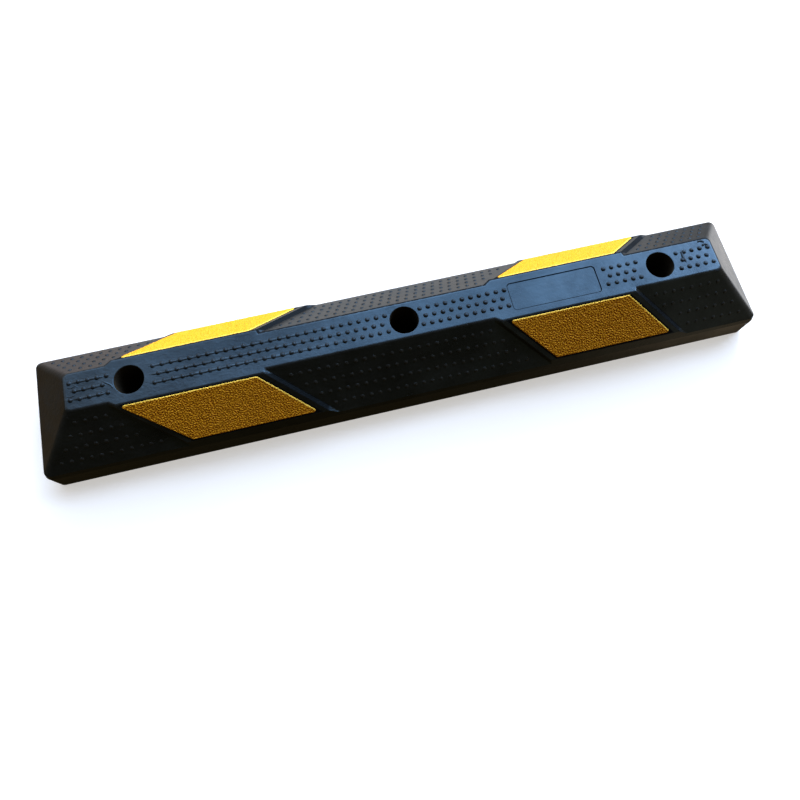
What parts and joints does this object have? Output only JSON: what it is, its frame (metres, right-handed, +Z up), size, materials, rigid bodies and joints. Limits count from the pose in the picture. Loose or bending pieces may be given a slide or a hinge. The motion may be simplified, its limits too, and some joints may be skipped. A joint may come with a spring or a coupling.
{
  "type": "parking wheel stop",
  "caption": "Black rubber parking wheel stop with sloping sides, a studded flat top, anchor holes along the middle and yellow reflective panels on both long slopes.",
  "frame": {"origin": "centre of the base, on the ground", "axes": "+X along the bar, +Y towards the back long side, +Z up from the ground"},
  "size_m": [0.9, 0.15, 0.1],
  "materials": {
    "rubber": "moulded satin",
    "reflective_panel": "coarse beaded retroreflective"
  },
  "bodies": {
    "root": {"rubber_body": "rubber", "reflective_panel_front_left": "reflective_panel", "reflective_panel_front_right": "reflective_panel", "reflective_panel_back_left": "reflective_panel", "reflective_panel_back_right": "reflective_panel"}
  },
  "joints": []
}
